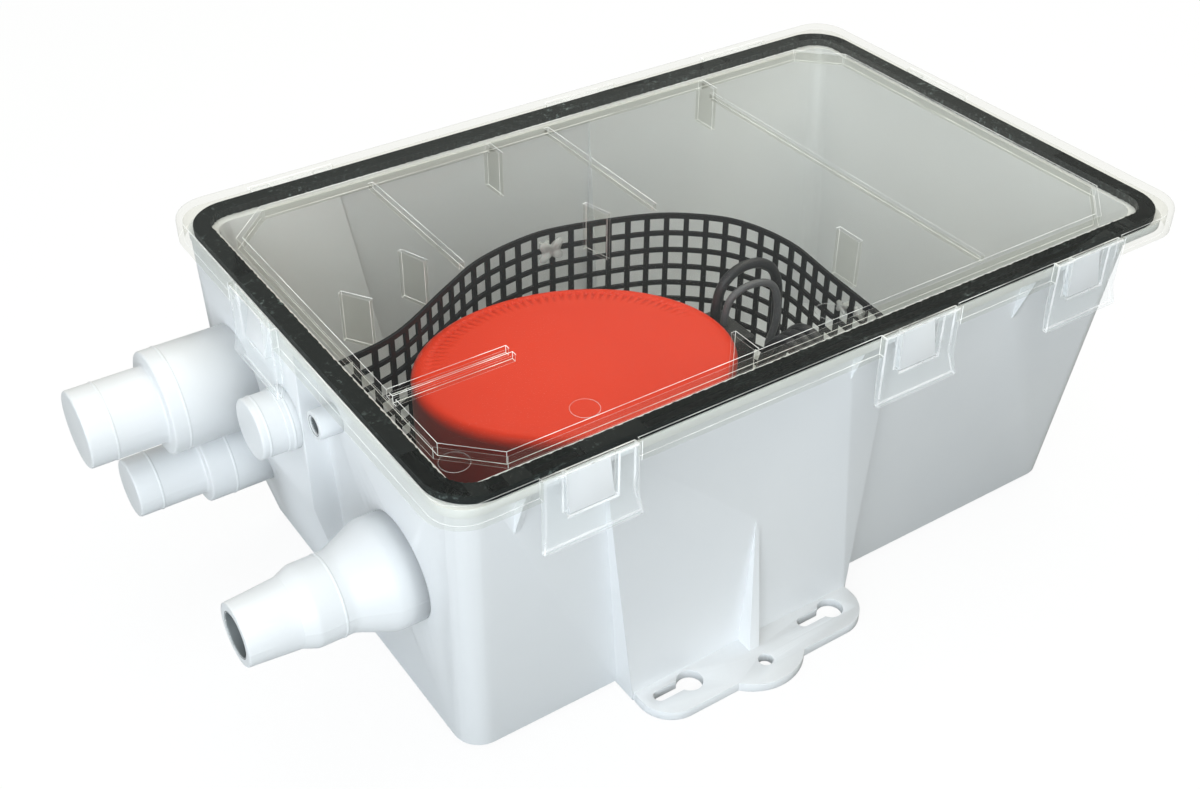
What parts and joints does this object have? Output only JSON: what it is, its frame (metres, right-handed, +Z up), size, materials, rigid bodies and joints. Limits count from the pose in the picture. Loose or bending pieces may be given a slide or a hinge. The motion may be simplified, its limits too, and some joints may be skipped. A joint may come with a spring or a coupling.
{
  "type": "shower sump pump",
  "caption": "Shower sump box: drafted white tub with hose ports, clear clip-on lid, filter screen, float-switched pump inside.",
  "frame": {"origin": "middle of the underside of the tub", "axes": "+Z up; +X along the tub, away from the hose ports; -Y towards the long side that faces the viewer"},
  "size_m": [0.3423, 0.206, 0.1243],
  "materials": {
    "white_plastic": "satin white, lightly drafted moulding",
    "clear_plastic": "clear, slightly grey",
    "black_rubber": "matt black",
    "grey_rubber": "matt grey",
    "black_plastic": "matt black",
    "impeller_plastic": "matt off-white",
    "orange_plastic": "glossy orange-red",
    "float_plastic": "matt white",
    "bright_steel": "plain",
    "bronze": "sintered",
    "magnet": "dull",
    "laminations": "dull"
  },
  "bodies": {
    "tub_body": {"tub": "white_plastic", "large_inlet": "white_plastic", "middle_inlet": "white_plastic", "small_inlet": "white_plastic", "strainer_base": "black_plastic", "volute_housing": "black_plastic", "housing_o_ring": "black_rubber", "pump_cap": "orange_plastic", "motor_can": "bright_steel", "magnets": "magnet", "motor_end_plate": "bright_steel", "lower_bush": "bronze", "upper_bush": "bronze", "brushes": "magnet", "shaft_seal": "black_rubber", "float_switch": "black_plastic", "float_pin": "bright_steel", "outlet_elbow": "black_plastic", "elbow_o_ring": "black_rubber", "check_valve_seat": "black_plastic", "valve_o_ring": "black_rubber", "flap_pin": "bright_steel", "screen_port_run": "black_plastic", "screen_back_run": "black_plastic", "screen_far_run": "black_plastic", "screen_front_run": "black_plastic", "screen_pins": "clear_plastic", "cable_gland": "black_plastic", "lead": "black_rubber", "second_lead": "grey_rubber", "lead_coil": "black_rubber"},
    "lid_body": {"lid": "clear_plastic", "lid_gasket": "black_rubber"},
    "rotor_body": {"motor_shaft": "bright_steel", "impeller": "impeller_plastic", "armature": "laminations", "commutator": "bronze"},
    "float_body": {"float": "float_plastic"},
    "flap_body": {"check_flap": "black_rubber"},
    "clip_front_left_body": {"clip_front_left": "clear_plastic"},
    "clip_front_middle_body": {"clip_front_middle": "clear_plastic"},
    "clip_front_right_body": {"clip_front_right": "clear_plastic"},
    "clip_back_left_body": {"clip_back_left": "clear_plastic"},
    "clip_back_middle_body": {"clip_back_middle": "clear_plastic"},
    "clip_back_right_body": {"clip_back_right": "clear_plastic"},
    "clip_port_end_body": {"clip_port_end": "clear_plastic"},
    "clip_far_end_body": {"clip_far_end": "clear_plastic"}
  },
  "joints": [
    {"name": "lid_lift", "type": "slide", "parent": "tub_body", "child": "lid_body", "axis": [0, 0, 1], "range_m": [0, 0.15], "deforming": ["clip_front_left", "clip_front_middle", "clip_front_right", "clip_back_left", "clip_back_middle", "clip_back_right", "clip_port_end", "clip_far_end"]},
    {"name": "clip_front_left_flex", "type": "hinge", "parent": "lid_body", "child": "clip_front_left_body", "pos_m": [-0.099, -0.09374, 0.1202], "axis": [-1, 0, 0], "range_deg": [0, 15], "stiffness_Nm_per_rad": 0.05},
    {"name": "clip_back_left_flex", "type": "hinge", "parent": "lid_body", "child": "clip_back_left_body", "pos_m": [-0.099, 0.09374, 0.1202], "axis": [1, 0, 0], "range_deg": [0, 15], "stiffness_Nm_per_rad": 0.05},
    {"name": "clip_front_middle_flex", "type": "hinge", "parent": "lid_body", "child": "clip_front_middle_body", "pos_m": [0.022, -0.09374, 0.1202], "axis": [-1, 0, 0], "range_deg": [0, 15], "stiffness_Nm_per_rad": 0.05},
    {"name": "clip_back_middle_flex", "type": "hinge", "parent": "lid_body", "child": "clip_back_middle_body", "pos_m": [0.022, 0.09374, 0.1202], "axis": [1, 0, 0], "range_deg": [0, 15], "stiffness_Nm_per_rad": 0.05},
    {"name": "clip_front_right_flex", "type": "hinge", "parent": "lid_body", "child": "clip_front_right_body", "pos_m": [0.0965, -0.09374, 0.1202], "axis": [-1, 0, 0], "range_deg": [0, 15], "stiffness_Nm_per_rad": 0.05},
    {"name": "clip_back_right_flex", "type": "hinge", "parent": "lid_body", "child": "clip_back_right_body", "pos_m": [0.0965, 0.09374, 0.1202], "axis": [1, 0, 0], "range_deg": [0, 15], "stiffness_Nm_per_rad": 0.05},
    {"name": "clip_port_end_flex", "type": "hinge", "parent": "lid_body", "child": "clip_port_end_body", "pos_m": [-0.14379, 0.026, 0.1202], "axis": [0, 1, 0], "range_deg": [0, 15], "stiffness_Nm_per_rad": 0.05},
    {"name": "clip_far_end_flex", "type": "hinge", "parent": "lid_body", "child": "clip_far_end_body", "pos_m": [0.14379, 0.026, 0.1202], "axis": [0, -1, 0], "range_deg": [0, 15], "stiffness_Nm_per_rad": 0.05},
    {"name": "rotor_spin", "type": "hinge", "parent": "tub_body", "child": "rotor_body", "pos_m": [-0.077, -0.0236, 0.05], "axis": [0, 0, 1], "continuous": true},
    {"name": "float_swing", "type": "hinge", "parent": "tub_body", "child": "float_body", "pos_m": [-0.045, -0.026, 0.036], "axis": [0, -1, 0], "range_deg": [0, 30]},
    {"name": "flap_swing", "type": "hinge", "parent": "tub_body", "child": "flap_body", "pos_m": [-0.13949, -0.0408, 0.0697], "axis": [0, 1, 0], "range_deg": [0, 50]}
  ]
}
